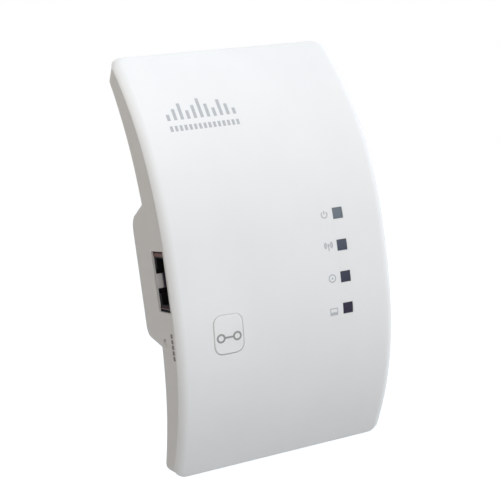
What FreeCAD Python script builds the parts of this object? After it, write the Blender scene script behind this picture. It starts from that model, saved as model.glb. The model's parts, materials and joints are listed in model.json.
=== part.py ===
import FreeCAD, Part
import math
import os

V = FreeCAD.Vector

# Frame: origin on the plug's seating face between the two pins, +Y out of the plug into the wall
# socket, +Z up, +X to the right of someone facing the front.  Depths are counted in +Y from the
# foremost line of the front cover.  Every length is in millimetres.

# Outer form
LENGTH = 110.0              # end to end, measured straight between the tips of the front face
WIDTH = 61.5
BODY_DEPTH = 24.0           # foremost line of the cover to the flat back of the hump
PLUG_DEPTH = 17.0           # how far the plug's boss stands out of the back
ARCH_RISE_TOP = 20.9        # how far the front falls back half a length above its foremost line
ARCH_RISE_BOTTOM = 18.7     # and half a length below it
ARCH_POWER = 2.46           # how much of that fall comes near the tips
ARCH_APEX_Z = -1.7
ARC_JOINTS = (0.16, 0.45, 0.78, 1.1)    # shares of the half length where arc meets arc
CORNER_RADIUS = 3.6         # corners of the outline
FRONT_ROUND = 3.0           # radius of the soft front edge
EDGE_DEPTH = 1.2            # depth of the parting line behind the front face
SLAB_MIDDLE = 12.6          # thickness of the arched slab at mid length
SLAB_TOP = 6.2              # at the upper tip
SLAB_BOTTOM = 7.0           # and at the lower tip
REAR_STEP = 0.12            # the rear housing stands this much inside the cover's outline
REAR_BEVEL = 0.7            # broken back edges of the slab

# Hump on the back
HUMP_ROOT_DEPTH = 13.8
HUMP_TOP = (17.8, math.radians(20.6), 5.6)          # height at the root, slope, shoulder radius
HUMP_BOTTOM = (-20.5, math.radians(13.0), 4.2)
HUMP_BEVEL = 1.4            # broken side edges of its back

# Walls
COVER_WALL = 1.8
HOUSING_WALL = 1.8
SIDE_WALL = 2.0
LIP_GAP = 0.1
LIP_WALL = 1.1
LIP_DEPTH = 3.4

# Status windows
WINDOW_COUNT = 4
WINDOW_X = 17.1
WINDOW_MIDDLE_Z = -4.4
WINDOW_PITCH = 8.24
WINDOW_SIZE = 2.82
WINDOW_GAP = 0.05
WINDOW_RECESS = 0.12

# Pairing button and its switch
BUTTON_X = -16.9
BUTTON_Z = -17.6
BUTTON_WIDTH = 7.9
BUTTON_HEIGHT = 9.9
BUTTON_CORNER = 2.2
BUTTON_BEVEL = 0.2
BUTTON_GAP = 0.1
BUTTON_STAND = 0.15
BUTTON_FLANGE = 0.6
BUTTON_FLANGE_MARGIN = 0.8
BUTTON_TRAVEL = 0.3
SWITCH_SIZE = 6.0
SWITCH_HEIGHT = 2.0
SWITCH_PLUNGER = 0.7
SWITCH_PLUNGER_RADIUS = 1.6
SWITCH_FLOOR = 0.5
SWITCH_LEG = (1.4, 0.7, 0.3)
SWITCH_LEG_Z = 2.2
TOUCH_GAP = 0.03            # between two parts that a light press brings together
SLIDE_GAP = 0.06            # round a part that slides in a bore

# Light guide behind the windows
GUIDE_WIDTH = 5.2
GUIDE_WEB = 0.8
GUIDE_LIFT = 1.0            # its posts end this far in front of the board

# Main board, seen from the front
BOARD_DEPTH = 6.4
BOARD_THICKNESS = 1.6
BOARD_HALF_WIDTH = 28.2
BOARD_LOW_Z = -23.0
BOARD_HIGH_Z = 21.0

# Parts on the board's front and rear: place (x, z) and size (width, height, how far it stands up)
SHIELD_CAN = ((1.0, 4.0), (17.0, 17.0, 2.2))
RADIO_CHIP = ((1.0, 4.0), (9.0, 9.0, 0.9))
MEMORY_CHIP = ((-3.0, -11.0), (10.0, 5.0, 1.0))
FLASH_CHIP = ((8.6, -11.0), (5.0, 4.0, 1.2))
CRYSTAL_BASE = ((-8.0, 17.0), (5.0, 3.2, 0.4))
CRYSTAL_CAN = ((-8.0, 17.0), (4.4, 2.6, 1.1))
LED_SIZE = (0.8, 1.6, 0.7)
SMALL_PART = (1.0, 1.8, 0.6)
SMALL_PART_ROWS_X = (-11.0, 12.6)
SMALL_PART_COUNT = 6
SMALL_PART_PITCH = 3.6
SMALL_PART_LOW_Z = -6.0
SHIELD_WALL = 0.3
NETWORK_TRANSFORMER = ((-8.0, -1.0), (7.0, 12.0, 3.2))
INDUCTOR = ((8.0, -17.0), (5.6, 5.6, 2.8))
BROKEN_CORNER = 1.0
ELECTROLYTIC_BASE = ((2.0, -15.4), (5.2, 5.2, 0.8))
ELECTROLYTIC_RADIUS = 2.4
ELECTROLYTIC_HEIGHT = 5.0
FOOT_WIDTH = 0.5
FOOT_PITCH = 1.5
FOOT_REACH = 1.0
FOOT_HEIGHT = 0.25

# Network jack, sunk into a notch of the main board
JACK_Z = -2.6
JACK_HALF_WIDTH = 8.0
JACK_FRONT_DEPTH = 2.2
JACK_REAR_DEPTH = 12.3
JACK_LENGTH = 15.5
JACK_RECESS = 0.75          # face of the jack behind the side of the cover
JACK_SHEET = 0.3
JACK_FLOOR = 2.0            # what closes the moulding behind the cavity
PLUG_HALF_WIDTH = 5.9
PLUG_CAVITY_DEPTH = 3.0
PLUG_CAVITY_HEIGHT = 6.6
LATCH_STEP = 1.2
LATCH_WIDE = 3.1
LATCH_NARROW = 1.9
CAVITY_WALL = 0.4
PORT_HALF_WIDTH = 7.65
PORT_FRONT_DEPTH = 2.6
PORT_REAR_DEPTH = 11.0
JACK_CLEARANCE = 0.2
CONTACT_COUNT = 8
CONTACT_PITCH = 1.02
CONTACT_WIDTH = 0.4
CONTACT_SHEET = 0.22
CONTACT_START = 2.6         # from the jack's face to the contacts' near end
CONTACT_FLAT = 1.2
CONTACT_REACH = 7.4
CONTACT_RISE = 1.9

# Reset switch, on the rear of the main board behind the left side
RESET_Z = -18.3
RESET_HEIGHT = 1.65         # axis above the board
RESET_RADIUS = 1.05
RESET_HOLE_RADIUS = 1.25
RESET_TRAVEL = 0.3
RESET_SINK = 0.35           # plunger's tip inside the side's outer face
RESET_BODY_X = -28.15
RESET_BODY_LENGTH = 3.6
RESET_BODY_HALF = 2.2
RESET_BORE = 2.6

# Mains plug: flat boss and two round pins
BOSS_HALF_WIDTH = 17.65
BOSS_HALF_HEIGHT = 6.85
BOSS_FLAT_HALF = 13.0
BOSS_TIP_HALF = 3.0
BOSS_ROUND = 0.8
BOSS_FLANGE = 1.5           # margin of its flange inside the housing
BOSS_LIFT = 0.6             # between the flange and the power board
PIN_SPACING = 19.0
PIN_RADIUS = 2.0
PIN_LENGTH = 19.0
PIN_SHANK_RADIUS = 1.5
PIN_TIP_BEVEL = 0.9
PIN_TAIL = 1.0              # stands out of the power board's front
COLLAR_RADIUS = 1.82
COLLAR_LENGTH = 10.0
COLLAR_SINK = 1.5           # how far a collar is moulded into the boss
CONTACT_PLATE = 0.8
CONTACT_PLATE_SIDE = 4.8
CONTACT_TAB_WIDTH = 1.6
CONTACT_TAB_REACH = 5.2

# Power board in the hump, with the parts on its front: place (x, z) and size as above
POWER_DEPTH = 18.5
POWER_HALF_WIDTH = 25.0
POWER_HALF_HEIGHT = 14.7
POWER_Z = -1.8
BRIDGE_RECTIFIER = ((-19.0, -2.8), (4.8, 4.0, 2.4))
POWER_CONTROLLER = ((-1.0, -10.3), (4.9, 6.2, 1.6))
OPTOCOUPLER = ((6.0, -11.8), (4.6, 6.5, 3.4))
TRANSFORMER_X = 17.0
TRANSFORMER_Z = 7.7
CORE_SIZE = (13.0, 5.6)
CORE_DEPTHS = (9.9, 17.7)
CORE_WINDOW_WIDTH = 8.4
CORE_WINDOW_DEPTHS = (11.7, 15.9)
WINDING_SIZE = (8.2, 11.4)
WINDING_DEPTHS = (11.8, 15.8)
BOBBIN_FOOT_SIZE = (10.8, 10.4)
INPUT_CAPACITOR = (-9.0, 3.5, 7.8, 4.0)         # left end, right end, z, radius
OUTPUT_CAPACITOR = (12.0, 23.0, -11.4, 3.8)
FUSE_RESISTOR = (-22.0, -14.5, 8.7, 1.5)
FUSE_LIFT = 2.2
FUSE_LEG = 0.7
FUSE_LEG_REACH = 1.6
LINK_X = 23.7
LINK_HEIGHTS = (-5.61, -3.07, -0.53, 2.01)
LINK_PIN = 0.64
LINK_BASE = (2.4, 10.2, 2.5)

# Case screws
SCREW_RADIUS = 1.1
SCREW_HEAD_RADIUS = 2.2
SCREW_HEAD_HEIGHT = 1.3
SCREW_LENGTH = 4.6
SCREW_SLOT = 0.5
SCREW_SLOT_FLOOR = 0.1
SCREW_Z = 36.0
SCREW_SEAT_DEPTH = 7.4
SCREW_CLEARANCE = 0.3
POST_RADIUS = 2.6
POST_JOIN_DEPTH = 5.6
POST_GAP = 0.05
PILLAR_SIDE = 7.6

# Ribs that clamp the main board, from the cover in front and from the housing behind
RIB_PLACES = ((-24.6, 18.4), (24.6, 18.4), (-8.8, -21.6), (24.6, -21.6))
RIB_WIDTH = 4.0
RIB_HEIGHT = 1.6

# Vents in the flat back, beside the plug
VENT_X = 24.2
VENT_LENGTH = 7.0
VENT_WIDTH = 1.4
VENT_PITCH = 3.0
VENT_COUNT = 7

# Sheet antennas behind the cover's top end, and their leads
ANTENNA_X = 16.0
ANTENNA_WIDTH = 18.0
ANTENNA_SHEET = 0.4
ANTENNA_LOW_Z = 34.0
ANTENNA_HIGH_Z = 50.0
ANTENNA_SLOTS_Z = (39.0, 44.5)
ANTENNA_SLOT = (15.0, 1.2)
ANTENNA_SLOT_SHIFT = 1.5
SOCKET_X = 20.0
SOCKET_Z = 17.0
SOCKET_BASE = (2.6, 2.6, 0.4)
SOCKET_CAN = (1.8, 1.8, 1.2)
LEAD_RADIUS = 0.5
LEAD_END_X = 9.0
LEAD_BEND = (19.0, 9.9, 24.0)
LEAD_CLEARANCE = 0.05

# What follows from the driving dimensions
HALF_LENGTH = LENGTH / 2.0
HALF_WIDTH = WIDTH / 2.0
PLUG_END = BODY_DEPTH + PLUG_DEPTH
FRONT_Y = -PLUG_END
BOARD_REAR = BOARD_DEPTH + BOARD_THICKNESS
POWER_REAR = POWER_DEPTH + BOARD_THICKNESS
JACK_FACE_X = -HALF_WIDTH + JACK_RECESS
JACK_END_X = JACK_FACE_X + JACK_LENGTH
PLUNGER_TOP = BOARD_DEPTH - SWITCH_HEIGHT - SWITCH_PLUNGER
TINY = 1e-6
SEARCH_STEPS = 20
PIN_SIDES = {"live": -1.0, "neutral": 1.0}
ANTENNA_SIDES = {"left": -1.0, "right": 1.0}


# ---------------------------------------------------------------- shapes shared by the pieces

def front_line(z):
    """Side-view line of the front face."""
    rise = ARCH_RISE_TOP if z > ARCH_APEX_Z else ARCH_RISE_BOTTOM
    return V(0.0, FRONT_Y + rise * abs((z - ARCH_APEX_Z) / HALF_LENGTH) ** ARCH_POWER, z)


class Arch:
    """A side-view line redrawn as tangent arcs, with parallel lines at any depth behind it.

    A station is a height on the line itself.  Going back along the normal from a station gives the
    matching point of a parallel line, so every parallel line is made of concentric arcs.
    """

    def __init__(self, line):
        shares = [-share for share in reversed(ARC_JOINTS)] + list(ARC_JOINTS)
        places = []
        sines = []
        for share in shares:
            z = ARCH_APEX_Z + share * HALF_LENGTH
            run = line(z + 0.01) - line(z - 0.01)
            places.append(line(z))
            sines.append(run.y / run.Length)
        self.arcs = []
        for index in range(len(shares) - 1):
            radius = (places[index + 1].z - places[index].z) / (sines[index + 1] - sines[index])
            self.arcs.append([places[index].z, 0.0, sines[index], radius])
        apex = len(ARC_JOINTS) - 1
        self.arcs[apex][1] = places[apex].y
        for index in range(apex, len(self.arcs) - 1):
            self.arcs[index + 1][1] = self.arcs[index][1] + self.fall(index)
        for index in range(apex - 1, -1, -1):
            self.arcs[index][1] = self.arcs[index + 1][1] - self.fall(index)

    def fall(self, index):
        """How far back an arc leads from its lower end to its upper end."""
        start, end = self.arcs[index][2], self.arcs[index + 1][2]
        return self.arcs[index][3] * (math.sqrt(1.0 - start ** 2) - math.sqrt(1.0 - end ** 2))

    def point(self, station, depth=0.0):
        """Point at a station, moved back by depth along the normal."""
        reached = self.arcs[:1] + [arc for arc in self.arcs[1:] if arc[0] <= station]
        z, y, sine, radius = reached[-1]
        turned = sine + (station - z) / radius
        level = math.sqrt(1.0 - turned ** 2)
        y += radius * (math.sqrt(1.0 - sine ** 2) - level)
        return V(0.0, y + depth * level, station - depth * turned)

    def edges(self, depth, low, high):
        """Arcs at a depth between two stations, from the lower to the higher."""
        stops = [low] + [arc[0] for arc in self.arcs if low < arc[0] < high] + [high]
        edges = []
        for start, end in zip(stops, stops[1:]):
            places = [self.point(station, depth) for station in (start, (start + end) / 2.0, end)]
            edges.append(Part.Arc(*places).toShape())
        return edges


FRONT = Arch(front_line)


def inside_back(wall):
    """Side-view line that lies a wall's thickness inside the slab's back."""
    def line(z):
        tip = SLAB_TOP if z > 0.0 else SLAB_BOTTOM
        thickness = SLAB_MIDDLE + (tip - SLAB_MIDDLE) * (z / HALF_LENGTH) ** 2
        return FRONT.point(z, thickness - wall)
    return line


def station_of(z, depth):
    """Station whose point at a given depth lies at height z."""
    station = z
    for _ in range(SEARCH_STEPS):
        station += z - FRONT.point(station, depth).z
    return station


def depth_below(z, depth):
    """How far behind the foremost line the surface at a given depth lies, at height z."""
    return FRONT.point(station_of(z, depth), depth).y - FRONT_Y


def top_station(inset):
    """The front's upper end station, drawn in along the arch by inset."""
    run = FRONT.point(HALF_LENGTH) - FRONT.point(HALF_LENGTH - 1.0)
    return HALF_LENGTH - inset / run.Length


def plate_between(near, far, half_width, corner):
    """Plate whose side view lies between two chains of arcs."""
    top = Part.makeLine(near[-1].Vertexes[-1].Point, far[-1].Vertexes[-1].Point)
    bottom = Part.makeLine(near[0].Vertexes[0].Point, far[0].Vertexes[0].Point)
    side = Part.Face(Part.Wire(Part.__sortEdges__(near + [top] + far + [bottom])))
    side.translate(V(-half_width, 0, 0))
    plate = side.extrude(V(2.0 * half_width, 0, 0))
    if corner > 0.0:
        plate = plate.makeFillet(corner, edges_to_back(plate))
    return plate


def layer(front, rear, inset=0.0, corner=0.0):
    """Arched plate between two depths behind the front face, its outline drawn in by inset.

    Its upper end stands square on the arch and its lower end is level.
    """
    foot = inset - HALF_LENGTH
    ends = [(depth, station_of(foot, depth), top_station(inset)) for depth in (front, rear)]
    near, far = [FRONT.edges(*end) for end in ends]
    return plate_between(near, far, HALF_WIDTH - inset, corner)


def slab(front, wall, inset=0.0, corner=0.0):
    """Arched plate from a depth behind the front face to a wall's thickness inside the back."""
    foot = inset - HALF_LENGTH
    near = FRONT.edges(front, station_of(foot, front), top_station(inset))
    line = inside_back(wall)
    far = Arch(line).edges(0.0, foot, line(top_station(inset)).z)
    return plate_between(near, far, HALF_WIDTH - inset, corner)


def edges_to_back(block):
    """The straight edges of a block that run from its front to its back."""
    edges = []
    for edge in block.Edges:
        run = edge.Vertexes[-1].Point - edge.Vertexes[0].Point
        if isinstance(edge.Curve, Part.Line) and abs(run.x) < TINY < abs(run.y):
            edges.append(edge)
    return edges


def rim_edges(plate, behind):
    """Edges round the arched face at a plate's front, or round the one behind it."""
    arched = [face for face in plate.Faces if isinstance(face.Surface, Part.Cylinder)
              and face.BoundBox.XLength > HALF_WIDTH]
    arched.sort(key=lambda face: face.CenterOfMass.y - front_line(face.CenterOfMass.z).y)
    half = len(arched) // 2
    chosen = arched[half:] if behind else arched[:half]
    edges = [edge for face in chosen for edge in face.Edges]
    return [edge for edge in edges if sum(edge.isSame(other) for other in edges) == 1]


def at(x, depth, z):
    return V(x, FRONT_Y + depth, z)


def box(x0, x1, depth0, depth1, z0, z1):
    return Part.makeBox(x1 - x0, depth1 - depth0, z1 - z0, at(x0, depth0, z0))


def centred_box(x, z, width, height, depth0, depth1):
    return box(x - width / 2.0, x + width / 2.0, depth0, depth1, z - height / 2.0, z + height / 2.0)


def post(x, z, radius, depth0, depth1):
    """Cylinder that runs from front to back."""
    return Part.makeCylinder(radius, depth1 - depth0, at(x, depth0, z), V(0, 1, 0))


def rod(x0, x1, depth, z, radius):
    """Cylinder that runs from left to right."""
    return Part.makeCylinder(radius, x1 - x0, at(x0, depth, z), V(1, 0, 0))


def rounded_column(x, z, width, height, radius, depth0, depth1):
    """Column with a rounded rectangular section that runs from front to back."""
    column = centred_box(x, z, width, height, depth0, depth1)
    return column.makeFillet(radius, edges_to_back(column))


def lead(points, radius):
    """Round wire along straight stretches, mitred where it bends."""
    ring = Part.Wire([Part.makeCircle(radius, points[0], points[1] - points[0])])
    return Part.makePolygon(points).makePipeShell([ring], True, False, 1)


def mounted(part, board_front):
    """Block with a given place and size that stands on the front of a board."""
    (x, z), (width, height, tall) = part
    return centred_box(x, z, width, height, board_front - tall, board_front)


def mounted_behind(part):
    """Block with a given place and size on the rear of the main board."""
    (x, z), (width, height, tall) = part
    return centred_box(x, z, width, height, BOARD_REAR, BOARD_REAR + tall)


def window_heights():
    """Heights of the status windows, top to bottom."""
    first = WINDOW_MIDDLE_Z + WINDOW_PITCH * (WINDOW_COUNT - 1) / 2.0
    return [first - WINDOW_PITCH * index for index in range(WINDOW_COUNT)]


# ---------------------------------------------------------------- case

def cover_openings():
    """Openings for the button and the status windows."""
    openings = [rounded_column(BUTTON_X, BUTTON_Z, BUTTON_WIDTH + 2.0 * BUTTON_GAP,
                               BUTTON_HEIGHT + 2.0 * BUTTON_GAP, BUTTON_CORNER + BUTTON_GAP,
                               -FRONT_ROUND, BOARD_DEPTH)]
    side = WINDOW_SIZE + 2.0 * WINDOW_GAP
    for z in window_heights():
        openings.append(centred_box(WINDOW_X, z, side, side, -FRONT_ROUND, BOARD_DEPTH))
    return Part.makeCompound(openings)


def front_cover():
    """Arched cover: soft front edges, a lip that locates in the housing, stands and openings."""
    oversize = FRONT_ROUND - math.sqrt(FRONT_ROUND ** 2 - (FRONT_ROUND - EDGE_DEPTH) ** 2)
    pillow = layer(0.0, SLAB_TOP, -oversize, CORNER_RADIUS + oversize)
    pillow = pillow.makeFillet(FRONT_ROUND, rim_edges(pillow, False))
    skin = layer(-FRONT_ROUND, EDGE_DEPTH, 0.0, CORNER_RADIUS).common(pillow)
    lip_inset = SIDE_WALL + LIP_GAP
    plate = layer(EDGE_DEPTH / 2.0, COVER_WALL, lip_inset)
    lip = layer(EDGE_DEPTH, LIP_DEPTH, lip_inset).cut(layer(0.0, SLAB_TOP, lip_inset + LIP_WALL))
    jack_half = JACK_HALF_WIDTH + LIP_WALL / 2.0
    jack_room = box(-HALF_WIDTH, -HALF_WIDTH / 2.0, COVER_WALL + LIP_GAP, BOARD_REAR,
                    JACK_Z - jack_half, JACK_Z + jack_half)
    behind = layer(COVER_WALL / 2.0, SLAB_MIDDLE, lip_inset)
    stands = []
    holes = []
    for z in (-SCREW_Z, SCREW_Z):
        stand = post(0.0, z, POST_RADIUS, 0.0, depth_below(z, POST_JOIN_DEPTH))
        stands.append(stand.common(behind))
        blind_end = depth_below(z, COVER_WALL + SCREW_CLEARANCE)
        holes.append(post(0.0, z, SCREW_RADIUS, blind_end, BODY_DEPTH))
    for x, z in RIB_PLACES:
        stands.append(centred_box(x, z, RIB_WIDTH, RIB_HEIGHT, 0.0, BOARD_DEPTH).common(behind))
    cover = skin.fuse([plate, lip.cut(jack_room)]).fuse(stands)
    return cover.cut(Part.makeCompound(holes)).cut(cover_openings()).removeSplitter()


def hump_profile(shrink):
    """Side view of the hump, drawn in by shrink, as a face in the YZ plane."""
    back = BODY_DEPTH - shrink
    root = SLAB_MIDDLE / 2.0

    def flank(side, depth):
        height, slope, _ = side
        drawn = shrink / math.cos(slope) + (depth - HUMP_ROOT_DEPTH) * math.tan(slope)
        return height - drawn * math.copysign(1.0, height)

    corners = [at(0, root, flank(HUMP_BOTTOM, root)), at(0, back, flank(HUMP_BOTTOM, back)),
               at(0, back, flank(HUMP_TOP, back)), at(0, root, flank(HUMP_TOP, root))]
    return Part.Face(Part.makePolygon(corners + corners[:1]))


def hump(shrink, half_width, bevel=0.0):
    """Hump with rounded shoulders; its sides stay flat and flush with the slab."""
    profile = hump_profile(shrink)
    profile.translate(V(-half_width, 0, 0))
    block = profile.extrude(V(2.0 * half_width, 0, 0))
    back_y = FRONT_Y + BODY_DEPTH - shrink
    across = [edge for edge in block.Edges if all(abs(v.Y - back_y) < TINY for v in edge.Vertexes)
              and abs(edge.Vertexes[0].X - edge.Vertexes[-1].X) > TINY]
    for height, _, shoulder in (HUMP_TOP, HUMP_BOTTOM):
        own = [edge for edge in across if edge.Vertexes[0].Z * height > 0.0]
        block = block.makeFillet(shoulder - shrink, own)
    if bevel > 0.0:
        back = max(block.Faces, key=lambda face: face.CenterOfMass.y)
        rims = [edge for edge in back.Edges if abs(edge.Vertexes[0].Z - edge.Vertexes[-1].Z) > TINY]
        block = block.makeChamfer(bevel, rims)
    return block


def housing_openings():
    """Everything cut through the housing: screw wells, port, reset hole, plug opening and vents."""
    cuts = []
    for z in (-SCREW_Z, SCREW_Z):
        seat = depth_below(z, SCREW_SEAT_DEPTH)
        cuts.append(post(0.0, z, SCREW_HEAD_RADIUS + SCREW_CLEARANCE, seat, 2.0 * BODY_DEPTH))
        cuts.append(post(0.0, z, SCREW_RADIUS + SCREW_CLEARANCE, 0.0, 2.0 * BODY_DEPTH))
    middle = -HALF_WIDTH / 2.0
    cuts.append(box(-WIDTH, middle, PORT_FRONT_DEPTH, PORT_REAR_DEPTH,
                    JACK_Z - PORT_HALF_WIDTH, JACK_Z + PORT_HALF_WIDTH))
    cuts.append(box(JACK_FACE_X, middle, JACK_FRONT_DEPTH, JACK_REAR_DEPTH,
                    JACK_Z - JACK_HALF_WIDTH, JACK_Z + JACK_HALF_WIDTH))
    cuts.append(rod(-WIDTH, middle, BOARD_REAR + RESET_HEIGHT, RESET_Z, RESET_HOLE_RADIUS))
    inside = BODY_DEPTH - 2.0 * HOUSING_WALL
    cuts.append(boss_column(0.0, inside, BODY_DEPTH + HOUSING_WALL))
    lowest = POWER_Z - VENT_PITCH * (VENT_COUNT - 1) / 2.0
    for x in (-VENT_X, VENT_X):
        for index in range(VENT_COUNT):
            cuts.append(centred_box(x, lowest + VENT_PITCH * index, VENT_LENGTH, VENT_WIDTH,
                                    inside, BODY_DEPTH + HOUSING_WALL))
    return Part.makeCompound(cuts)


def rear_housing():
    """Side walls, slab back and hump in one shell, with the port, vents and plug opening."""
    shell = slab(EDGE_DEPTH, 0.0, REAR_STEP, CORNER_RADIUS)
    shell = shell.makeChamfer(REAR_BEVEL, rim_edges(shell, True))
    outer = shell.fuse(hump(0.0, HALF_WIDTH - REAR_STEP, HUMP_BEVEL))
    cavity = slab(EDGE_DEPTH / 2.0, HOUSING_WALL, SIDE_WALL)
    cavity = cavity.fuse(hump(HOUSING_WALL, HALF_WIDTH - SIDE_WALL))
    filled = slab(EDGE_DEPTH, HOUSING_WALL / 2.0, SIDE_WALL)
    filled = filled.fuse(hump(HOUSING_WALL / 2.0, HALF_WIDTH - SIDE_WALL))
    stands = []
    for z in (-SCREW_Z, SCREW_Z):
        join = depth_below(z, POST_JOIN_DEPTH) + POST_GAP
        pillar = centred_box(0.0, z, PILLAR_SIDE, PILLAR_SIDE, join, 2.0 * BODY_DEPTH)
        stands.append(pillar.common(filled))
    for x, z in RIB_PLACES:
        stands.append(centred_box(x, z, RIB_WIDTH, RIB_HEIGHT, BOARD_REAR, BODY_DEPTH).common(filled))
    return outer.cut(cavity).fuse(stands).cut(housing_openings()).removeSplitter()


# ---------------------------------------------------------------- mains plug

def boss_column(grow, depth0, depth1):
    """Flattened eight-sided column of the plug, grown by a margin."""
    wide = BOSS_HALF_WIDTH + grow
    tall = BOSS_HALF_HEIGHT + grow
    corners = []
    for x, z in ((wide, BOSS_TIP_HALF), (BOSS_FLAT_HALF, tall), (-BOSS_FLAT_HALF, tall),
                 (-wide, BOSS_TIP_HALF), (-wide, -BOSS_TIP_HALF), (-BOSS_FLAT_HALF, -tall),
                 (BOSS_FLAT_HALF, -tall), (wide, -BOSS_TIP_HALF)):
        corners.append(at(x, depth0, z))
    face = Part.Face(Part.makePolygon(corners + corners[:1]))
    return face.extrude(V(0, depth1 - depth0, 0))


def plug_base():
    """Moulded boss that stands out of the back, with a flange inside the housing."""
    inner = BODY_DEPTH - HOUSING_WALL
    boss = boss_column(0.0, inner, PLUG_END)
    rims = [edge for edge in boss.Edges if all(abs(v.Y) < TINY for v in edge.Vertexes)]
    boss = boss.makeFillet(BOSS_ROUND, rims)
    base = boss.fuse(boss_column(BOSS_FLANGE, POWER_REAR + BOSS_LIFT, inner))
    for side in PIN_SIDES.values():
        x = side * PIN_SPACING / 2.0
        base = base.cut(post(x, 0.0, PIN_SHANK_RADIUS, 0.0, PLUG_END))
        base = base.cut(post(x, 0.0, COLLAR_RADIUS, PLUG_END - COLLAR_SINK, PLUG_END))
    return base


def mains_pin(side):
    """Turned pin: a shank that runs through the boss and the collar, and a full-size tip."""
    tail = FRONT_Y + POWER_DEPTH - PIN_TAIL
    profile = [V(0, tail, 0), V(PIN_SHANK_RADIUS, tail, 0), V(PIN_SHANK_RADIUS, COLLAR_LENGTH, 0),
               V(PIN_RADIUS, COLLAR_LENGTH, 0), V(PIN_RADIUS, PIN_LENGTH - PIN_TIP_BEVEL, 0),
               V(PIN_RADIUS - PIN_TIP_BEVEL, PIN_LENGTH, 0), V(0, PIN_LENGTH, 0)]
    outline = Part.Face(Part.makePolygon(profile + profile[:1]))
    pin = outline.revolve(V(0, 0, 0), V(0, 1, 0), 360)
    pin.translate(V(side * PIN_SPACING / 2.0, 0, 0))
    return pin


def pin_collar(side):
    """Insulating sleeve round the first part of a pin, moulded into the boss."""
    x = side * PIN_SPACING / 2.0
    sleeve = post(x, 0.0, COLLAR_RADIUS, PLUG_END - COLLAR_SINK, PLUG_END + COLLAR_LENGTH)
    return sleeve.cut(post(x, 0.0, PIN_SHANK_RADIUS, 0.0, PLUG_END + COLLAR_LENGTH))


def pin_contact(side):
    """Brass plate on the power board that takes the mains from a pin's tail."""
    x = side * PIN_SPACING / 2.0
    front = POWER_DEPTH - CONTACT_PLATE
    plate = centred_box(x, 0.0, CONTACT_PLATE_SIDE, CONTACT_PLATE_SIDE, front, POWER_DEPTH)
    half_tab = CONTACT_TAB_WIDTH / 2.0
    tab = box(x - half_tab, x + half_tab, front, POWER_DEPTH, PIN_RADIUS, CONTACT_TAB_REACH)
    return plate.fuse(tab).cut(post(x, 0.0, PIN_SHANK_RADIUS, 0.0, BODY_DEPTH)).removeSplitter()


# ---------------------------------------------------------------- button, windows, switches

def pairing_button():
    """Button cap level with the arch, a flange that keeps it in, and a stem to its switch."""
    cap = rounded_column(BUTTON_X, BUTTON_Z, BUTTON_WIDTH, BUTTON_HEIGHT, BUTTON_CORNER,
                         -FRONT_ROUND, BOARD_DEPTH)
    cap = cap.common(layer(-BUTTON_STAND, COVER_WALL + LIP_GAP))
    front = min(cap.Faces, key=lambda face: face.CenterOfMass.y)
    cap = cap.makeChamfer(BUTTON_BEVEL, front.Edges)
    flange = centred_box(BUTTON_X, BUTTON_Z, BUTTON_WIDTH + 2.0 * BUTTON_FLANGE_MARGIN,
                         BUTTON_HEIGHT + 2.0 * BUTTON_FLANGE_MARGIN, 0.0, BOARD_DEPTH)
    flange = flange.common(layer(COVER_WALL + LIP_GAP, COVER_WALL + LIP_GAP + BUTTON_FLANGE))
    side = 2.0 * SWITCH_PLUNGER_RADIUS
    stem = centred_box(BUTTON_X, BUTTON_Z, side, side, COVER_WALL, PLUNGER_TOP - TOUCH_GAP)
    return cap.fuse([flange, stem]).removeSplitter()


def light_guide():
    """Four square light posts joined by a web behind the cover."""
    lowest = window_heights()[-1] - WINDOW_PITCH / 2.0
    web = depth_below(lowest, COVER_WALL + LIP_GAP)
    guide = centred_box(WINDOW_X, WINDOW_MIDDLE_Z, GUIDE_WIDTH, WINDOW_PITCH * WINDOW_COUNT,
                        web, web + GUIDE_WEB)
    for z in window_heights():
        column = centred_box(WINDOW_X, z, WINDOW_SIZE, WINDOW_SIZE, 0.0, BOARD_DEPTH - GUIDE_LIFT)
        guide = guide.fuse(column.common(layer(WINDOW_RECESS, SLAB_TOP)))
    return guide.removeSplitter()


def pairing_switch_body():
    """Low tactile switch under the button, with a bore for its plunger."""
    top = BOARD_DEPTH - SWITCH_HEIGHT
    body = centred_box(BUTTON_X, BUTTON_Z, SWITCH_SIZE, SWITCH_SIZE, top, BOARD_DEPTH)
    width, height, thick = SWITCH_LEG
    for x in (-1, 1):
        for z in (-1, 1):
            leg = centred_box(BUTTON_X + x * (SWITCH_SIZE + width) / 2.0, BUTTON_Z + z * SWITCH_LEG_Z,
                              width, height, BOARD_DEPTH - thick, BOARD_DEPTH)
            body = body.fuse(leg)
    bore = post(BUTTON_X, BUTTON_Z, SWITCH_PLUNGER_RADIUS + SLIDE_GAP, 0.0, BOARD_DEPTH - SWITCH_FLOOR)
    return body.cut(bore)


def pairing_switch_plunger():
    end = BOARD_DEPTH - SWITCH_FLOOR - 1.5 * BUTTON_TRAVEL
    return post(BUTTON_X, BUTTON_Z, SWITCH_PLUNGER_RADIUS, PLUNGER_TOP, end)


def reset_switch_body():
    """Right-angle tactile switch on the rear of the board."""
    body = box(RESET_BODY_X, RESET_BODY_X + RESET_BODY_LENGTH,
               BOARD_REAR, BOARD_REAR + 2.0 * RESET_HEIGHT,
               RESET_Z - RESET_BODY_HALF, RESET_Z + RESET_BODY_HALF)
    bore = rod(-HALF_WIDTH, RESET_BODY_X + RESET_BORE, BOARD_REAR + RESET_HEIGHT, RESET_Z,
               RESET_RADIUS + SLIDE_GAP)
    return body.cut(bore)


def reset_plunger():
    """Long round plunger that ends just inside the hole in the side wall."""
    tip = -HALF_WIDTH + REAR_STEP + RESET_SINK
    end = RESET_BODY_X + RESET_BORE - 1.5 * RESET_TRAVEL
    return rod(tip, end, BOARD_REAR + RESET_HEIGHT, RESET_Z, RESET_RADIUS)


# ---------------------------------------------------------------- network jack

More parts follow.
